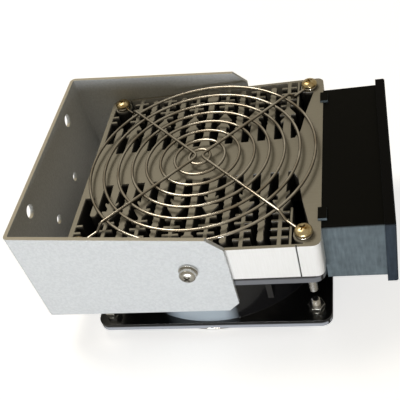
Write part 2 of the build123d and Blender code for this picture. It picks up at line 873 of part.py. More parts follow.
# Lid: a plate with a lip that fits inside the box, and pillars that meet the bosses
lip_length = inner_length - 2 * lip_clearance
lip_height = inner_height - 2 * lip_clearance
with BuildPart() as terminal_box_lid:
    with BuildSketch(right_face.offset(box_depth)):
        with Locations((0, box_middle)):
            RectangleRounded(
                box_length + 2 * lid_overhang, box_height + 2 * lid_overhang, box_corner)
    extrude(amount=lid_thickness)
    chamfer(terminal_box_lid.faces().sort_by(Axis.X)[-1].edges(), lid_edge)
    with BuildSketch(right_face.offset(box_depth)):
        with Locations((0, box_middle)):
            Rectangle(lip_length, lip_height)
            Rectangle(lip_length - 2 * lip_wall, lip_height - 2 * lip_wall, mode=Mode.SUBTRACT)
    extrude(amount=-lip_depth)
    with BuildSketch(right_face.offset(box_depth)):
        with Locations(*lid_bosses):
            Circle(lid_boss_radius - lip_clearance)
    extrude(amount=-lid_boss_drop)
    with BuildSketch(right_face.offset(box_depth + lid_thickness)):
        with Locations(*lid_bosses):
            Circle(m3_head_radius + hole_clearance)
    extrude(amount=-lid_recess, mode=Mode.SUBTRACT)
    with BuildSketch(right_face.offset(box_depth + lid_thickness)):
        with Locations(*lid_bosses):
            Circle(m3_radius + hole_clearance)
    extrude(amount=-lid_thickness - lid_boss_drop, mode=Mode.SUBTRACT)
write(terminal_box_lid.part, "terminal_box_lid")

# Screws of the box, its lid, the limiter and the earth
lid_seat = box_depth + lid_thickness - lid_recess
m4_box = pan_screw(m4_radius, m4_head_radius, m4_head_height, box_screw)
m4_earth = pan_screw(m4_radius, m4_head_radius, m4_head_height, earth_screw_length)
m3_lid = pan_screw(m3_radius, m3_head_radius, m3_head_height, lid_screw)
m3_limiter = pan_screw(m3_radius, m3_head_radius, m3_head_height, limiter_screw)
earth = [(earth_place, 0)]
group(m3_lid, towards_lid(lid_seat, lid_bosses), "lid_screws")
group(m4_box, towards_lid(box_wall, box_screws), "box_fixing_screws")
group(m3_limiter, towards_lid(limiter_ear_thickness, limiter_screws), "limiter_screws")
group(flat_ring, towards_lid(0, earth), "earth_washer")
group(m4_earth, towards_lid(washer_thickness, earth), "earth_screw")

# Temperature limiter: a flanged disc with two blade terminals
with BuildPart() as temperature_limiter:
    with BuildSketch(right_face):
        with Locations((limiter_place, limiter_height_place)):
            RectangleRounded(2 * (limiter_screw_offset + limiter_ear), 2 * limiter_ear + 1, limiter_ear)
            Circle(limiter_radius)
        with Locations(*limiter_screws):
            Circle(m3_radius + hole_clearance, mode=Mode.SUBTRACT)
    extrude(amount=limiter_ear_thickness)
    with BuildSketch(right_face):
        with Locations((limiter_place, limiter_height_place)):
            Circle(limiter_radius)
    extrude(amount=limiter_height)
    with BuildSketch(right_face.offset(limiter_height)):
        with Locations((limiter_place, limiter_height_place)):
            with GridLocations(2 * blade_terminal_place, 1, 2, 1):
                Rectangle(limiter_ear_thickness, blade_terminal_width)
    extrude(amount=blade_terminal_length)
write(temperature_limiter.part, "temperature_limiter")

# Terminal block: a body with a cavity, a clamp and a screw for each way
way_pitch = block_length / ways
block_middle = (block_base + block_top) / 2
way_places = [(block_place + (i - (ways - 1) / 2) * way_pitch, block_middle) for i in range(ways)]
clamp_back = box_wall + block_floor
clamp_middle = side_x + clamp_back + clamp_depth / 3
with BuildPart() as wire_holes:
    for y, height in way_places:
        with BuildSketch(Plane(origin=(clamp_middle, y, block_base - 1))):
            Circle(wire_hole)
        extrude(amount=block_height + 2)
with BuildPart() as terminal_block:
    with BuildSketch(right_face.offset(box_wall)):
        with Locations((block_place, block_middle)):
            Rectangle(block_length, block_height)
    extrude(amount=block_depth)
    with BuildSketch(right_face.offset(clamp_back)):
        with Locations(*way_places):
            Rectangle(clamp_width + 2 * clamp_clearance, clamp_height + 2 * clamp_clearance)
    extrude(amount=block_depth - block_floor, mode=Mode.SUBTRACT)
    add(wire_holes.part, mode=Mode.SUBTRACT)
write(terminal_block.part, "terminal_block")

with BuildPart() as terminal_clamps:
    with BuildSketch(right_face.offset(clamp_back)):
        with Locations(*way_places):
            Rectangle(clamp_width, clamp_height)
    extrude(amount=clamp_depth)
    with BuildSketch(right_face.offset(clamp_back + clamp_depth)):
        with Locations(*way_places):
            Circle(clamp_screw_radius + thread_clearance)
    extrude(amount=-clamp_screw_length - 1, mode=Mode.SUBTRACT)
    add(wire_holes.part, mode=Mode.SUBTRACT)
write(terminal_clamps.part, "terminal_clamps")

m3_clamp = pan_screw(
    clamp_screw_radius, clamp_screw_head, clamp_screw_head_height, clamp_screw_length)
group(m3_clamp, towards_lid(clamp_back + clamp_depth, way_places), "terminal_screws")

# Cable gland through the box's underside: body, locknut inside, seal and dome nut below
hex_base = box_base - gland_hex_height
stub_end = hex_base - gland_stub
dome_top = hex_base - dome_gap
dome_end = dome_top - dome_length
seal_base = dome_end + dome_lip + 0.1


def gland_level(height):
    """A horizontal plane at a height, with its centre on the gland's axis."""
    return Plane(origin=(gland_x, gland_place, height))


with BuildPart() as gland_body:
    with BuildSketch(gland_level(box_base)):
        Circle(gland_thread)
    extrude(amount=box_wall + gland_sleeve)
    with BuildSketch(gland_level(hex_base)):
        RegularPolygon(gland_across_flats / 2, 6, major_radius=False)
    extrude(amount=gland_hex_height)
    with BuildSketch(gland_level(stub_end)):
        Circle(gland_stub_radius)
    extrude(amount=gland_stub)
    with BuildSketch(gland_level(stub_end)):
        Circle(gland_bore)
    extrude(amount=box_wall + gland_sleeve - stub_end + box_base, mode=Mode.SUBTRACT)
write(gland_body.part, "gland_body")

gland_nut = hex_nut(gland_thread, gland_across_flats, gland_nut_height)
group(gland_nut, [gland_level(box_base + box_wall).location], "gland_locknut")

with BuildPart() as gland_dome_nut:
    with BuildSketch(gland_level(dome_end)):
        Circle(dome_radius)
    extrude(amount=dome_length)
    fillet(gland_dome_nut.edges().sort_by(Axis.Z)[0], dome_round)
    with BuildSketch(gland_level(dome_top - dome_hex)):
        RegularPolygon(gland_across_flats / 2, 6, major_radius=False)
    extrude(amount=dome_hex)
    with BuildSketch(gland_level(dome_end + dome_lip)):
        Circle(gland_stub_radius + thread_clearance)
    extrude(amount=dome_length, mode=Mode.SUBTRACT)
    with BuildSketch(gland_level(dome_end)):
        Circle(dome_mouth)
    extrude(amount=dome_lip, mode=Mode.SUBTRACT)
write(gland_dome_nut.part, "gland_dome_nut")

with BuildPart() as gland_seal:
    with BuildSketch(gland_level(seal_base)):
        Circle(seal_radius)
        Circle(cable_radius, mode=Mode.SUBTRACT)
    extrude(amount=seal_length)
write(gland_seal.part, "gland_seal")
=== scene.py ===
# %% [markdown]
# Fan heater for an enclosure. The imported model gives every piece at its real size. This lesson
# dresses it: finer wires and screws, softened edges, and a material for each finish. The pieces
# keep their places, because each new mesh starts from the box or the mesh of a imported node.

# %% Load the frame
import json
from math import cos, pi, radians, sin, sqrt

import bmesh
import bpy
from mathutils import Matrix, Vector


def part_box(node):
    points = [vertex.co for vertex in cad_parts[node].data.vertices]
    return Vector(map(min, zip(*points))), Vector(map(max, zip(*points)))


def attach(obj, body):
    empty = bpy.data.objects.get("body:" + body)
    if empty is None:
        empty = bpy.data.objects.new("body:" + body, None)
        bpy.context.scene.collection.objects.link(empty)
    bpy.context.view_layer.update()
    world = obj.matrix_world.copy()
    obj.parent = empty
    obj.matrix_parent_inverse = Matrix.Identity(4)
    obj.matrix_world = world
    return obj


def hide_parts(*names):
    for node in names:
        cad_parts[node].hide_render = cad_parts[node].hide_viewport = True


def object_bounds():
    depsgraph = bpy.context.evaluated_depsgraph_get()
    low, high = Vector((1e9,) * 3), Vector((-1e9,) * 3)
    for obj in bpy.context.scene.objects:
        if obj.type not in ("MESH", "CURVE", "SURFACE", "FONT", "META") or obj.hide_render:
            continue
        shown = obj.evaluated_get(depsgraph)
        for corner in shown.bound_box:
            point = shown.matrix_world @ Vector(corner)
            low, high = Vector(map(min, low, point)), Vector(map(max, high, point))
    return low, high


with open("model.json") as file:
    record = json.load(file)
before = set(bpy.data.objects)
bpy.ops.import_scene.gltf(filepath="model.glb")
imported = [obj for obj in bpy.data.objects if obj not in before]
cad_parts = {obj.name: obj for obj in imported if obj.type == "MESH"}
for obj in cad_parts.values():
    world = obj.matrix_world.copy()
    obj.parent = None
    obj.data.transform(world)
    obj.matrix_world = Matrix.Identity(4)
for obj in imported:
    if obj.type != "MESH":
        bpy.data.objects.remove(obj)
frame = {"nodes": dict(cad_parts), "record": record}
cad_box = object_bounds()
MM = 0.001
MERGE = 0.002 * MM  # points nearer to each other than this become one

# %% [markdown]
# Shader sums read best as sums. This class wraps one socket, and each operator adds the Math node
# that works it out, so a mask can be written as 1 - mask. Everything else is one call that takes
# the node's type, its settings and its inputs.

# %% A small language for shaders
class Field:
    """A number that varies over a surface."""

    def __init__(self, shader, socket):
        self.shader = shader
        self.socket = socket

    def math(self, operation, *values):
        return self.shader.math(operation, *values)

    def __add__(self, other):
        return self.math("ADD", self, other)

    def __sub__(self, other):
        return self.math("SUBTRACT", self, other)

    def __rsub__(self, other):
        return self.math("SUBTRACT", other, self)

    def __mul__(self, other):
        return self.math("MULTIPLY", self, other)

    def __pow__(self, other):
        return self.math("POWER", self, other)

    __radd__ = __add__
    __rmul__ = __mul__


class Shader:
    """One material, built from named fields."""

    def __init__(self, name, **numbers):
        self.material = bpy.data.materials.new(name)
        self.material.use_nodes = True
        self.tree = self.material.node_tree
        self.surface = self.tree.nodes["Principled BSDF"]
        for key, value in numbers.items():
            self.surface.inputs[key.replace("_", " ")].default_value = value
        self.place = self.node("TexCoord", out="Object")

    def node(self, kind, settings=None, inputs=None, out=0):
        made = self.tree.nodes.new("ShaderNode" + kind)
        for key, value in (settings or {}).items():
            setattr(made, key, value)
        for key, value in (inputs or {}).items():
            self.join(value, made.inputs[key])
        return Field(self, made.outputs[out])

    def join(self, value, socket):
        if isinstance(value, Field):
            self.tree.links.new(value.socket, socket)
        else:
            socket.default_value = value

    def feed(self, **fields):
        for key, value in fields.items():
            self.join(value, self.surface.inputs[key.replace("_", " ")])
        return self.material

    def math(self, operation, *values):
        return self.node("Math", {"operation": operation}, dict(enumerate(values)))

    def stretched(self, scale):
        return self.node("Mapping", None, {"Vector": self.place, "Scale": scale})

    def noise(self, scale, detail=2.0, stretch=(1, 1, 1)):
        """Cloudy values from 0 to 1, with scale in features per metre."""
        inputs = {"Vector": self.stretched(stretch), "Scale": scale, "Detail": detail}
        return self.node("TexNoise", None, inputs)

    def between(self, low, high, value):
        """0 below low, 1 above high."""
        inputs = {"Value": value, "From Min": low, "From Max": high}
        return self.node("MapRange", None, inputs)

    def mix(self, first, second, share):
        inputs = {0: share, 6: (*first, 1) if isinstance(first, tuple) else first,
                  7: (*second, 1) if isinstance(second, tuple) else second}
        return self.node("Mix", {"data_type": "RGBA"}, inputs, out=2)

    def bump(self, height, distance, strength=1.0):
        inputs = {"Height": height, "Distance": distance, "Strength": strength}
        return self.node("Bump", None, inputs, out="Normal")

    def along(self, axis):
        """The place of a point along an axis, in metres."""
        return self.node("SeparateXYZ", None, {"Vector": self.place}, out=axis)

    def facing(self, axis):
        """How far the surface faces along an axis: 1 towards it, -1 away from it."""
        normal = self.node("NewGeometry", out="Normal")
        inputs = {"Vector": normal}
        return self.node("SeparateXYZ", None, inputs, out=axis)


# %% [markdown]
# The bracket's paint is a textured powder coat: a pale grey with a fine leathery skin about a
# millimetre across. Two noises make the skin, and the skin's hollows are a touch darker and
# duller than its tops, as dust and baking leave them. Faces that look up, the sheet's upper edges
# above all, get a painted highlight: a pale warm beige that stands for the warm light from above.

# %% Powder coat
def powder_coat():
    coat = Shader("powder_coat", Specular_IOR_Level=0.4)
    skin = coat.noise(850, 2.0)
    clouds = coat.noise(28, 3.0)
    tops = coat.between(0.38, 0.62, skin)
    # Painted highlight: faces that look up are painted a pale warm beige, as the warm top light shows
    # them.
    upward = coat.between(0.8, 0.95, coat.facing("Z"))
    colour = coat.mix((0.61, 0.63, 0.65), (0.69, 0.71, 0.73), tops * 0.7 + clouds * 0.3)
    return coat.feed(
        Base_Color=coat.mix(colour, (0.80, 0.74, 0.60), upward * 0.85),
        Roughness=0.62 - tops * 0.12 + clouds * 0.08,
        Normal=coat.bump(skin, 0.0003, 0.9),
    )


# %% [markdown]
# The heating profile is an aluminium extrusion. Its top and bottom are sawn, so they are matt and
# warm with fine saw lines. Its sides keep the fine upright die lines of the press. The walls
# between the fins carry painted shade, near black and more so further down, and the seam line on
# each side is a dark groove.

# %% Aluminium extrusion
profile_low, profile_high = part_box("heating_profile")
profile_middle = (profile_low + profile_high) / 2
WINDOW_HALF = 57.3 * MM
SEAM_FROM_MIDDLE = 49.2 * MM
# The painted shade between the fins starts this far below the sawn top.
DEPTH_SHADE_STARTS = 2.5 * MM  # below the sawn top


def extruded_aluminium():
    """Warm and matt where it is sawn and looks up, bright on the sides, painted shade between the fins.
    """
    metal = Shader("extruded_aluminium")
    from_middle = metal.math("ABSOLUTE", metal.along("X") - profile_middle.x)
    from_axis = metal.math("ABSOLUTE", metal.along("Y"))
    furthest = metal.math("MAXIMUM", from_middle, from_axis)
    inside = 1 - metal.between(WINDOW_HALF - 0.1 * MM, WINDOW_HALF, furthest)
    shallow = metal.between(profile_high.z - DEPTH_SHADE_STARTS, profile_high.z - 0.05 * MM, metal.along("Z"))
    sawn = metal.between(0.6, 0.9, metal.facing("Z"))
    from_seam = metal.math("ABSOLUTE", from_middle - SEAM_FROM_MIDDLE)
    seam = (1 - metal.between(0.25 * MM, 0.35 * MM, from_seam)) * (1 - sawn)
    # Painted shade: near black between the fins, fading out towards the top; the dark seam line on the
    # sides joins it.
    depth_shade_and_seam = metal.math("MAXIMUM", inside * (1 - shallow ** 3), seam * (1 - inside))
    saw_lines = metal.noise(240, 2.0, (1, 14, 1))
    die_lines = metal.noise(300, 2.0, (9, 9, 0.4))
    stains = metal.noise(45, 4.0)
    bright = metal.mix((0.86, 0.85, 0.84), (0.97, 0.97, 0.97), die_lines)
    warm = metal.mix((0.29, 0.27, 0.22), (0.40, 0.38, 0.32), saw_lines * 0.6 + stains * 0.4)
    lines = saw_lines * sawn + die_lines * (1 - sawn)
    return metal.feed(
        Base_Color=metal.mix(metal.mix(bright, warm, sawn), (0.012, 0.012, 0.012), depth_shade_and_seam * 0.97),
        Metallic=0.12 + sawn * 0.43 - depth_shade_and_seam * 0.12,
        Roughness=0.34 + sawn * 0.2 + stains * 0.1 + depth_shade_and_seam * 0.3,
        Normal=metal.bump(lines, 0.00004, 0.5),
    )


# %% [markdown]
# The fan's frame is cast and painted in gloss black. The paint flows a little, so its gloss is
# broken by a slow orange peel, and dust makes the faces that look up a little paler. A painted
# highlight runs along the upright rim of each flange, stronger on the lower one than the upper one.
# The front of the barrel between the flanges carries a painted reflection of pale metal, which
# fades out at both ends.

# %% Gloss black paint
fan_low, fan_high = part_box("fan_housing")
FLANGE = 4.5 * MM
BARREL_RADIUS = 58.3 * MM
LINE = 0.1 * MM  # half the width over which one finish gives way to the next


def black_paint():
    paint = Shader("gloss_black_paint", Coat_Weight=0.6, Coat_Roughness=0.1)
    peel = paint.noise(420, 1.0)
    dust = paint.noise(90, 4.0)
    upward = paint.between(0.5, 1.0, paint.facing("Z"))
    x, y, z = paint.along("X") - profile_middle.x, paint.along("Y"), paint.along("Z")
    # Painted highlight: a grey band up the upright rim of each flange, stronger on the lower flange.
    rim_highlight_bands = 0
    rims = ((fan_low.z, 2.8 * MM, 1.0), (fan_high.z - FLANGE, 3.8 * MM, 0.4))
    for edge, height, strength in rims:
        above_edge = paint.between(edge - 2 * LINE, edge - LINE, z)
        below_band_top = 1 - paint.between(edge + height * 0.7, edge + height, z)
        rim_highlight_bands = above_edge * below_band_top * strength + rim_highlight_bands
    furthest = paint.math("MAXIMUM", paint.math("ABSOLUTE", x), paint.math("ABSOLUTE", y))
    painted_rim_highlight = rim_highlight_bands * paint.between(BARREL_RADIUS - LINE, BARREL_RADIUS + LINE, furthest)
    # Painted reflection: a pale blue-grey metal patch on the front of the barrel between the flanges,
    # fading out at both ends.
    radius = (x * x + y * y) ** 0.5
    shell = (paint.between(BARREL_RADIUS - 4 * LINE, BARREL_RADIUS - 2 * LINE, radius)
             - paint.between(BARREL_RADIUS + 2 * LINE, BARREL_RADIUS + 4 * LINE, radius))
    clear_of_base = paint.between(fan_low.z + FLANGE, fan_low.z + FLANGE + LINE, z)
    clear_of_top = 1 - paint.between(fan_high.z - FLANGE - LINE, fan_high.z - FLANGE, z)
    left_end = paint.between(-24 * MM, -14 * MM, x)
    right_end = 1 - paint.between(8 * MM, 15 * MM, x)
    painted_barrel_reflection = shell * clear_of_base * clear_of_top * left_end * right_end
    black = paint.mix((0.004, 0.004, 0.005), (0.03, 0.03, 0.03), dust * upward * 0.4)
    painted = paint.mix(black, (0.40, 0.42, 0.47), painted_rim_highlight)
    return paint.feed(
        Base_Color=paint.mix(painted, (0.52, 0.60, 0.68), painted_barrel_reflection),
        Metallic=painted_barrel_reflection * 0.35,
        Roughness=0.16 + dust * 0.12 + painted_rim_highlight * 0.3,
        Normal=paint.bump(peel, 0.00008, 0.35),
    )


# %% [markdown]
# The terminal box is moulded in black plastic. Its upright sides carry a painted blue-grey sheen
# from the front light, with brushed upright streaks in it, while the top stays darker.

# %% Worn black plastic
def box_plastic(name, dark, pale):
    plastic = Shader(name, Specular_IOR_Level=0.06)
    streaks = plastic.noise(150, 4.0, (6, 6, 0.8))
    mottle = plastic.noise(260, 3.0)
    upright = 1 - plastic.between(0.3, 0.8, plastic.facing("Z"))
    # Painted sheen: upright faces are painted blue-grey as front light shows them, the streaks paler
    # still.
    sheen_streaks = plastic.between(0.3, 0.75, streaks * 0.6 + mottle * 0.4)
    return plastic.feed(
        Base_Color=plastic.mix(dark, pale, sheen_streaks * upright * 0.45 + upright * 0.55),
        Roughness=0.42 + sheen_streaks * 0.2,
        Normal=plastic.bump(mottle, 0.00006, 0.5),
    )


# %% [markdown]
# Plated and turned metals share one recipe: two colours, a roughness that wanders a little and
# fine marks. Only the numbers differ from chromed wire to brass.

# %% Plated metals and plain plastics
def plated(name, dark, light, roughness, grain=160, stretch=(1, 1, 1), metallic=1.0, grey_below=-1,
           painted_side_reflection=0.0):
    """A plated finish, or a plain moulded one where metallic is 0, that is grey below a height.

    The last argument paints a dark reflection on what faces left or right, where a bright wire
    mirrors the bracket and box.
    """
    metal = Shader(name, Metallic=metallic)
    wander = metal.noise(grain, 3.0, stretch)
    marks = metal.noise(grain * 6, 2.0, stretch)
    kept = metal.between(grey_below, grey_below + 1 * MM, metal.along("Z"))
    colour = metal.mix(dark, light, metal.between(0.3, 0.7, wander))
    # Painted reflection: faces that turn left or right are painted dark, as a bright wire mirrors the
    # bracket and box.
    sideways = metal.between(0.15, 0.7, metal.math("ABSOLUTE", metal.facing("X")))
    colour = metal.mix(colour, (0.07, 0.06, 0.045), sideways * painted_side_reflection)
    return metal.feed(
        Base_Color=metal.mix((0.5, 0.5, 0.5), colour, kept),
        Roughness=roughness * 0.8 + wander * roughness * 0.5,
        Normal=metal.bump(marks, 0.00002, 0.4),
    )


chrome_wire = plated("chromed_wire", (0.44, 0.38, 0.30), (0.86, 0.82, 0.74), 0.12, grain=90,
                     painted_side_reflection=0.85)
yellow_zinc = plated("yellow_zinc", (0.42, 0.29, 0.12), (0.78, 0.66, 0.40), 0.26, grain=330,
                     grey_below=profile_low.z)
nickel = plated("nickel_plate", (0.52, 0.51, 0.48), (0.72, 0.70, 0.66), 0.24)
steel = plated("ground_steel", (0.42, 0.42, 0.43), (0.62, 0.62, 0.62), 0.3, stretch=(1, 1, 8))
brass = plated("turned_brass", (0.55, 0.40, 0.18), (0.78, 0.62, 0.34), 0.28)
sheet_stack = plated("stacked_sheet", (0.12, 0.12, 0.13), (0.32, 0.32, 0.34), 0.45, 400, (1, 1, 9))
coil_wire = plated("enamelled_wire", (0.34, 0.11, 0.04), (0.66, 0.28, 0.10), 0.3, 500, (1, 1, 5))
black_nylon = plated("black_nylon", (0.012, 0.012, 0.013), (0.03, 0.03, 0.032), 0.42, 300, (1, 1, 1), 0)
rubber = plated("seal_rubber", (0.012, 0.012, 0.012), (0.022, 0.022, 0.022), 0.75, 500, (1, 1, 1), 0)
white_plastic = plated("white_plastic", (0.66, 0.65, 0.6), (0.78, 0.77, 0.73), 0.4, 200, (1, 1, 1), 0)
coat = powder_coat()
aluminium = extruded_aluminium()
paint = black_paint()
box_black = box_plastic("box_plastic", (0.003, 0.003, 0.002), (0.165, 0.205, 0.230))
lid_black = box_plastic("lid_plastic", (0.003, 0.003, 0.003), (0.045, 0.060, 0.080))
print("materials", len(bpy.data.materials))

# %% [markdown]
# Every new mesh leaves the same way: doubles merged, normals turned outwards, shading smooth but
# sharp at real corners, then it rides on its body and stands in for its node.

# %% From bmesh to a finished piece
body_of_node = {n: b for b, ns in frame["record"]["behaviour"]["bodies"].items() for n in ns}


def finish(name, bm, node, material, sharp=35, outwards=True):
    """Turn a bmesh into the piece that replaces a node."""
    if outwards:
        bmesh.ops.recalc_face_normals(bm, faces=bm.faces)
    mesh = bpy.data.meshes.new(name)
    bm.to_mesh(mesh)
    bm.free()
    mesh.shade_smooth()
    mesh.set_sharp_from_angle(angle=radians(sharp))
    mesh.materials.append(material)
    piece = bpy.data.objects.new(name, mesh)
    bpy.context.scene.collection.objects.link(piece)
    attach(piece, body_of_node[node])
    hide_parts(node)
    return piece


def soften(piece, width, segments=2):
    """Break the sharp edges, as tumbling, casting or moulding does."""
    bevel = piece.modifiers.new("soft_edges", "BEVEL")
    bevel.width = width * MM
    bevel.segments = segments
    bevel.limit_method = "ANGLE"
    bevel.angle_limit = radians(40)
    bevel.harden_normals = True
    return piece


def dressed(node, name, material, edge=0.0):
    """A copy of a node's mesh with flat faces joined, smooth curves and softened edges."""
    bm = bmesh.new()
    bm.from_mesh(frame["nodes"][node].data)
    bmesh.ops.remove_doubles(bm, verts=bm.verts, dist=MERGE)
    bmesh.ops.dissolve_limit(bm, angle_limit=radians(0.4), verts=bm.verts, edges=bm.edges)
    piece = finish(name, bm, node, material, outwards=False)
    if edge:
        soften(piece, edge)
    level_faces = piece.modifiers.new("level_faces", "WEIGHTED_NORMAL")
    level_faces.keep_sharp = True
    return piece


# %% [markdown]
# Bent sheet, castings and mouldings keep the imported shape. What they lack is a broken edge, which
# catches a thin line of light on every real part, so most get a bevel of their own size; the
# thin fins, the rotor and the blades keep sharp edges.

# %% Bracket, profile, fan frame, rotor, box and lid
dressed("mounting_bracket", "bracket_sheet", coat, 0.35)
dressed("heating_profile", "profile_fins", aluminium)
dressed("fan_housing", "fan_frame", paint, 0.4)
dressed("rotor_cup", "rotor_shell", paint)
dressed("impeller", "fan_blades", paint)
dressed("terminal_box", "box_tray", box_black, 0.25)
dressed("terminal_box_lid", "box_lid", lid_black, 0.25)
dressed("gland_body", "gland_middle", black_nylon, 0.2)
dressed("gland_locknut", "gland_ring_nut", black_nylon, 0.2)
dressed("upper_guard_nuts", "nuts_above", nickel, 0.25)
dressed("lower_guard_nuts", "nuts_below", nickel, 0.25)
dressed("pivot_washers", "swivel_washers", nickel, 0.15)
dressed("lower_guard_washers", "washers_below", nickel, 0.15)

# %% [markdown]
# A finger guard is round wire. The rings are circles spun round the fan's axis, and each of the
# two arms is one wire that steps up from a corner, runs over the rings, turns back near the
# middle and runs to the next corner. A curve with a round bevel draws such a wire. Its corners
# have a point on each side, so the runs stay straight and only the bends are round.

# %% Finger guards
WIRE = 0.75 * MM
RING_STEPS = 120
guard_low, guard_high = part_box("upper_finger_guard")
axis_point = (guard_low + guard_high) / 2
OUTER = 56.8 * MM
RINGS = 8
RING_PITCH = 7.35 * MM
RISE = 3.4 * MM
HOLE = 52.4 * MM
ARM_RISE = guard_high.z - guard_low.z - WIRE
STEP_BEND = 2 * MM
MIDDLE_BEND = 7 * MM
EYELET_RADIUS = 3.3 * MM
EYELET_REACH = 3.2 * MM  # from a hole's middle to the arm's end
STEP_FOOT, STEP_TOP = 6.2 * MM, 2.6 * MM  # outside the largest ring
HALF_GAP = 0.6 * MM  # between the two arms at the middle


def ring(bm, radius, height, wire, steps, centre=(0, 0)):
    """One closed ring of round wire."""
    turn = Matrix.Translation((centre[0] + radius, centre[1], height)) @ Matrix.Rotation(pi / 2, 4, "X")
    made = bmesh.ops.create_circle(bm, segments=12, radius=wire, matrix=turn)
    edges = list({e for v in made["verts"] for e in v.link_edges})
    bmesh.ops.spin(bm, geom=made["verts"] + edges, cent=(*centre, height), axis=(0, 0, 1),
                   angle=2 * pi, steps=steps, use_merge=True)


def rounded(points, bends):
    """Add a point on each side of every inner corner, at the distance given in bends."""
    path = [Vector(points[0])]
    for before, corner, after, reach in zip(points, points[1:], points[2:], bends):
        before, corner, after = Vector(before), Vector(corner), Vector(after)
        path.append(corner + (before - corner).normalized() * reach)
        path.append(corner)
        path.append(corner + (after - corner).normalized() * reach)
    path.append(Vector(points[-1]))
    return path


def wire_along(bm, points, wire, bends):
    """A round wire that follows points, with bends instead of corners."""
    curve = bpy.data.curves.new("wire", "CURVE")
    curve.dimensions = "3D"
    curve.bevel_depth = wire
    curve.bevel_resolution = 4
    curve.use_fill_caps = True
    spline = curve.splines.new("NURBS")
    path = rounded(points, bends)
    spline.points.add(len(path) - 1)
    for point, place in zip(spline.points, path):
        point.co = (*place, 1)
    spline.order_u = 3
    spline.use_endpoint_u = True
    spline.resolution_u = 6
    holder = bpy.data.objects.new("wire", curve)
    bpy.context.scene.collection.objects.link(holder)
    mesh = bpy.data.meshes.new_from_object(holder.evaluated_get(bpy.context.evaluated_depsgraph_get()))
    bm.from_mesh(mesh)
    bpy.data.objects.remove(holder)
    bpy.data.meshes.remove(mesh)


def corner_point(distance, x, y, height):
    """A point at a distance from the axis, towards the corner with the signs x and y."""
    return (x * distance / sqrt(2), y * distance / sqrt(2), height)


def guard(node, name, place):
    """Rings, arms and eyelets of one guard, drawn on z = 0 and put in place."""
    bm = bmesh.new()
    for i in range(RINGS):
        ring(bm, OUTER - i * RING_PITCH, RISE, WIRE, RING_STEPS)
    for x in (-1, 1):
        end = sqrt(2) * HOLE - EYELET_REACH
        half = [(end, WIRE), (OUTER + STEP_FOOT, WIRE), (OUTER + STEP_TOP, ARM_RISE)]
        points = [corner_point(d, x, -1, h) for d, h in half]
        points.append((x * HALF_GAP, 0, ARM_RISE))
        points += [corner_point(d, x, 1, h) for d, h in reversed(half)]
        wire_along(bm, points, WIRE, (STEP_BEND, STEP_BEND, MIDDLE_BEND, STEP_BEND, STEP_BEND))
        for y in (-1, 1):
            ring(bm, EYELET_RADIUS, WIRE, WIRE, 32, (x * HOLE, y * HOLE))
    bmesh.ops.remove_doubles(bm, verts=bm.verts, dist=MERGE)
    bmesh.ops.transform(bm, matrix=place, verts=bm.verts)
    return finish(name, bm, node, chrome_wire, 60)


fan_x, fan_y = axis_point.x, axis_point.y
above = Matrix.Translation((fan_x, fan_y, guard_low.z))
below = Matrix.Translation((fan_x, fan_y, fan_low.z)) @ Matrix.Scale(-1, 4, (0, 0, 1))
guard("upper_finger_guard", "wire_guard_above", above)
guard("lower_finger_guard", "wire_guard_below", below)
print("guard stands", round(guard_low.z / MM, 2), "mm above the swivel axis")

# %% [markdown]
# A pan head is a low dome with a cross recess, on a threaded shank. The dome and the thread are
# outlines spun round the screw's axis. A tapered cross is cut out of the dome with a Boolean, and
# the finished screw is then copied to each of its places.

# %% Screws
def spun(bm, outline, steps):
    """Spin an outline of (radius, height) points round Z into a closed shape."""
    verts = [bm.verts.new((r * MM, 0, z * MM)) for r, z in outline]
    edges = [bm.edges.new(pair) for pair in zip(verts, verts[1:])]
    bmesh.ops.spin(bm, geom=verts + edges, cent=(0, 0, 0), axis=(0, 0, 1), angle=2 * pi,
                   steps=steps, use_merge=True)
    bmesh.ops.remove_doubles(bm, verts=bm.verts, dist=MERGE)


def temporary(name, bm):
    bmesh.ops.recalc_face_normals(bm, faces=bm.faces)
    mesh = bpy.data.meshes.new(name)
    bm.to_mesh(mesh)
    bm.free()
    holder = bpy.data.objects.new(name, mesh)
    bpy.context.scene.collection.objects.link(holder)
    return holder


def pan_head(head_radius, head_height):
    """The mesh of a domed head with a cross recess, seated on z = 0."""
    dome = bmesh.new()
    outline = [(0, head_height)]
    for step in range(1, 8):
        angle = radians(90 - step * 11)
        outline.append((head_radius * cos(angle) ** 0.9, head_height * (0.25 + 0.75 * sin(angle))))
    outline += [(head_radius, 0.12 * head_height), (head_radius * 0.96, 0), (0, 0)]
    spun(dome, outline, 40)
    cross = bmesh.new()
    for turn in (0, pi / 2):
        matrix = Matrix.Rotation(turn, 4, "Z") @ Matrix.Translation((0, 0, head_height * 0.95 * MM))
        size = Matrix.Diagonal((head_radius * 1.15 * MM, head_radius * 0.27 * MM, head_height * MM, 1))
        made = bmesh.ops.create_cube(cross, size=1, matrix=matrix @ size)
        floor = sorted(made["verts"], key=lambda v: v.co.z)[:4]
        for vert in floor:
            vert.co.x *= 0.6
            vert.co.y *= 0.6
    head, cutter = temporary("head", dome), temporary("cutter", cross)
    cut = head.modifiers.new("recess", "BOOLEAN")
    cut.operation = "DIFFERENCE"
    cut.solver = "EXACT"
    cut.use_self = True
    cut.object = cutter
    mesh = bpy.data.meshes.new_from_object(head.evaluated_get(bpy.context.evaluated_depsgraph_get()))
    bpy.data.objects.remove(head)
    bpy.data.objects.remove(cutter)
    return mesh


def thread_outline(radius, length, pitch):
    """A zigzag from the head down to a chamfered end."""
    outline = [(0, -0.01), (radius * 0.98, -0.01)]
    turns = int((length - 1) / pitch)
    for i in range(turns):
        outline.append((radius, -0.4 - i * pitch))
        outline.append((radius * 0.86, -0.4 - (i + 0.5) * pitch))
    outline += [(radius, -length + 0.5), (radius * 0.75, -length), (0, -length)]
    return outline


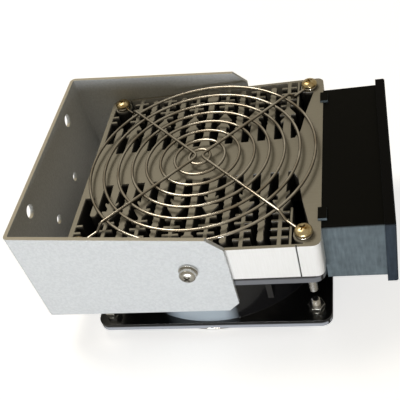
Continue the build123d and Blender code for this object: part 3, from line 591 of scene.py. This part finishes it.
def screws(node, name, material, length, places, head_radius, head_height, radius, pitch):
    """Copies of one screw at several places, each a matrix. All sizes are in millimetres."""
    head = pan_head(head_radius, head_height)
    bm = bmesh.new()
    for place in places:
        part = bmesh.new()
        part.from_mesh(head)
        spun(part, thread_outline(radius, length, pitch), 24)
        bmesh.ops.transform(part, matrix=place, verts=part.verts)
        copy = bpy.data.meshes.new("copy")
        part.to_mesh(copy)
        part.free()
        bm.from_mesh(copy)
        bpy.data.meshes.remove(copy)
    finish(name, bm, node, material, 40)


def corner_places(height, downwards=False):
    turn = Matrix.Rotation(pi, 4, "X") if downwards else Matrix.Identity(4)
    return [Matrix.Translation((fan_x + x * HOLE, fan_y + y * HOLE, height)) @ turn
            @ Matrix.Rotation(0.5 + x + 2 * y, 4, "Z") for x in (-1, 1) for y in (-1, 1)]


M4 = {"head_radius": 4, "head_height": 2.9, "radius": 2, "pitch": 0.7}
M3 = {"head_radius": 2.8, "head_height": 2.2, "radius": 1.5, "pitch": 0.5}
HEAD = M4["head_height"] * MM
LID_HEAD, LID_HEAD_RADIUS = M3["head_height"] * MM, M3["head_radius"] * MM
_, guard_screws_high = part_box("upper_guard_screws")
guard_screws_low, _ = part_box("lower_guard_screws")
_, pivot_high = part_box("pivot_screws")
lid_low, lid_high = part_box("lid_screws")
pivot_places = [Matrix.Translation((fan_x, s * (pivot_high.y - HEAD), 0))
                @ Matrix.Rotation(-s * pi / 2, 4, "X") @ Matrix.Rotation(0.6, 4, "Z") for s in (-1, 1)]
lid_places = [Matrix.Translation((lid_high.x - LID_HEAD, y, z)) @ Matrix.Rotation(pi / 2, 4, "Y")
              for y, z in ((lid_low.y + LID_HEAD_RADIUS, lid_high.z - LID_HEAD_RADIUS),
                           (lid_high.y - LID_HEAD_RADIUS, lid_low.z + LID_HEAD_RADIUS))]
screws("upper_guard_screws", "guard_screws_above", yellow_zinc, 40,
       corner_places(guard_screws_high.z - HEAD), **M4)
screws("lower_guard_screws", "guard_screws_below", nickel, 14,
       corner_places(guard_screws_low.z + HEAD, True), **M4)
screws("pivot_screws", "swivel_screws", nickel, 16, pivot_places, **M4)
screws("lid_screws", "lid_fixings", nickel, 12, lid_places, **M3)
print("screws made for 4 nodes")

# %% [markdown]
# The gland's dome nut is turned by hand, so it has grip ribs. Its outline is spun with as many
# steps as there are flanks of the ribs, and every second pair of columns is pushed in a little.

# %% Gland dome nut
RIBS = 18
dome_low, dome_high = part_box("gland_dome_nut")
dome = bmesh.new()
dome_height = (dome_high.z - dome_low.z) / MM
outline = [(4.2, 0), (5.0, 0), (6.3, 0.7), (7.1, 2.0), (7.45, 3.6), (7.5, 5.2), (8.2, 5.6),
           (8.25, dome_height - 0.5), (7.9, dome_height), (5.75, dome_height),
           (5.7, 1.8), (4.2, 1.6), (4.2, 0)]
spun(dome, outline, RIBS * 4)
for vert in dome.verts:
    angle = Vector((1, 0)).angle_signed(Vector((vert.co.x, vert.co.y)))
    column = round(angle / (2 * pi) * RIBS * 4) % 4
    if column >= 2 and vert.co.xy.length > 7.6 * MM:
        vert.co.xy *= 0.95
bmesh.ops.transform(dome, verts=dome.verts, matrix=Matrix.Translation(
    ((dome_low.x + dome_high.x) / 2, (dome_low.y + dome_high.y) / 2, dome_low.z)))
finish("gland_cap", dome, "gland_dome_nut", black_nylon, 30)

# %% [markdown]
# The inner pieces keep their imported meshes. They only need the finish that their metal, enamel or
# plastic has, because they show through the fins and the lower guard.

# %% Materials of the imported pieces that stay
stays = {
    nickel: ("pivot_spring_washers", "box_fixing_screws", "limiter_screws", "earth_screw",
             "earth_washer", "terminal_screws"),
    steel: ("heating_cartridges", "temperature_limiter", "ball_bearings", "fan_shaft",
            "shaft_retaining_ring"),
    brass: ("bearing_tube", "terminal_clamps"),
    sheet_stack: ("stator_stack", "rotor_cage"),
    coil_wire: ("stator_windings",),
    white_plastic: ("terminal_block",),
    rubber: ("gland_seal",),
}
for material, nodes in stays.items():
    for node in nodes:
        slots = frame["nodes"][node].data.materials
        slots.clear()
        slots.append(material)

# %% [markdown]
# A pale floor and backdrop that stay white to the camera and show dimmer in reflections, with soft
# light from the front at table height, as in a product photograph taken against paper.

# %% Floor, world and lamps
FLOOR_SIZE = 6.0
MIRRORED_SKY = 0.3  # how bright the backdrop is in reflections, where the camera sees 1
SHED_LIGHT = 0.15  # how much light it sheds
SHED_TINT = (1, 0.87, 0.62, 1)
floor_mesh = bmesh.new()
bmesh.ops.create_grid(floor_mesh, x_segments=1, y_segments=1, size=FLOOR_SIZE,
                      matrix=Matrix.Translation((fan_x, 0, cad_box[0][2])))
paper = Shader("paper", Roughness=0.9)
seen = paper.node("LightPath", out="Is Camera Ray")
paper.feed(Base_Color=(0.9, 0.9, 0.9, 1), Emission_Strength=0.7,
           Emission_Color=paper.mix((0, 0, 0), (1, 1, 1), seen))
floor = temporary("floor", floor_mesh)
floor.data.materials.append(paper.material)

world = bpy.data.worlds.new("studio")
bpy.context.scene.world = world
world.use_nodes = True
sky = world.node_tree
background = sky.nodes["Background"]
path = sky.nodes.new("ShaderNodeLightPath")
joined = sky.nodes.new("ShaderNodeMath")
joined.operation = "MULTIPLY_ADD"
joined.inputs[1].default_value = MIRRORED_SKY
sky.links.new(path.outputs["Is Glossy Ray"], joined.inputs[0])
sky.links.new(path.outputs["Is Camera Ray"], joined.inputs[2])
level = sky.nodes.new("ShaderNodeMapRange")
level.inputs["To Min"].default_value = SHED_LIGHT
sky.links.new(joined.outputs[0], level.inputs["Value"])
sky.links.new(level.outputs[0], background.inputs["Strength"])
tint = sky.nodes.new("ShaderNodeMix")
tint.data_type = "RGBA"
tint.inputs[6].default_value = SHED_TINT
tint.inputs[7].default_value = (1, 1, 1, 1)
sky.links.new(joined.outputs[0], tint.inputs[0])
sky.links.new(tint.outputs[2], background.inputs["Color"])


def lamp(name, place, target, width, height, watts, colour):
    """A soft oblong lamp that looks at a point."""
    data = bpy.data.lights.new(name, "AREA")
    data.shape = "RECTANGLE"
    data.size = width
    data.size_y = height
    data.energy = watts
    data.color = colour
    made = bpy.data.objects.new(name, data)
    bpy.context.scene.collection.objects.link(made)
    made.location = place
    made.rotation_euler = (Vector(target) - Vector(place)).to_track_quat("-Z", "Y").to_euler()


MIDDLE = (fan_x, 0, -0.01)
lamp("front_lamp", (0.05, -1.1, 0.02), MIDDLE, 0.8, 0.1, 9, (0.94, 0.97, 1))
lamp("top_lamp", (-0.35, 0.35, 1.1), MIDDLE, 0.5, 0.5, 5, (1, 0.93, 0.8))

# %% [markdown]
# The camera was worked out from the edges of the object in the photograph: its place, the
# directions of its right and up edges, its lens, and the small shift of the picture's middle.

# %% Camera
CAMERA_PLACE = Vector((0.16563, -0.25239, 0.22893))
CAMERA_RIGHT = Vector((0.96208, 0.14005, -0.23405))
CAMERA_UP = Vector((0.06058, 0.72695, 0.68401))
IMAGE_SIZE = 400
FOCAL_PIXELS = 689.2
MIDDLE_PIXEL = (189.85, 219.23)
SENSOR = 36
camera = bpy.data.cameras.new("camera")
camera.sensor_fit = "HORIZONTAL"
camera.sensor_width = SENSOR
camera.lens = FOCAL_PIXELS / IMAGE_SIZE * SENSOR
camera.shift_x = (IMAGE_SIZE / 2 - MIDDLE_PIXEL[0]) / IMAGE_SIZE
camera.shift_y = (MIDDLE_PIXEL[1] - IMAGE_SIZE / 2) / IMAGE_SIZE
camera.clip_start = 0.01
holder = bpy.data.objects.new("camera", camera)
bpy.context.scene.collection.objects.link(holder)
back = CAMERA_RIGHT.cross(CAMERA_UP)
holder.matrix_world = Matrix.Translation(CAMERA_PLACE) @ Matrix(
    (CAMERA_RIGHT, CAMERA_UP, back)).transposed().to_4x4()
bpy.context.scene.camera = holder
bpy.context.scene.view_settings.view_transform = "Standard"
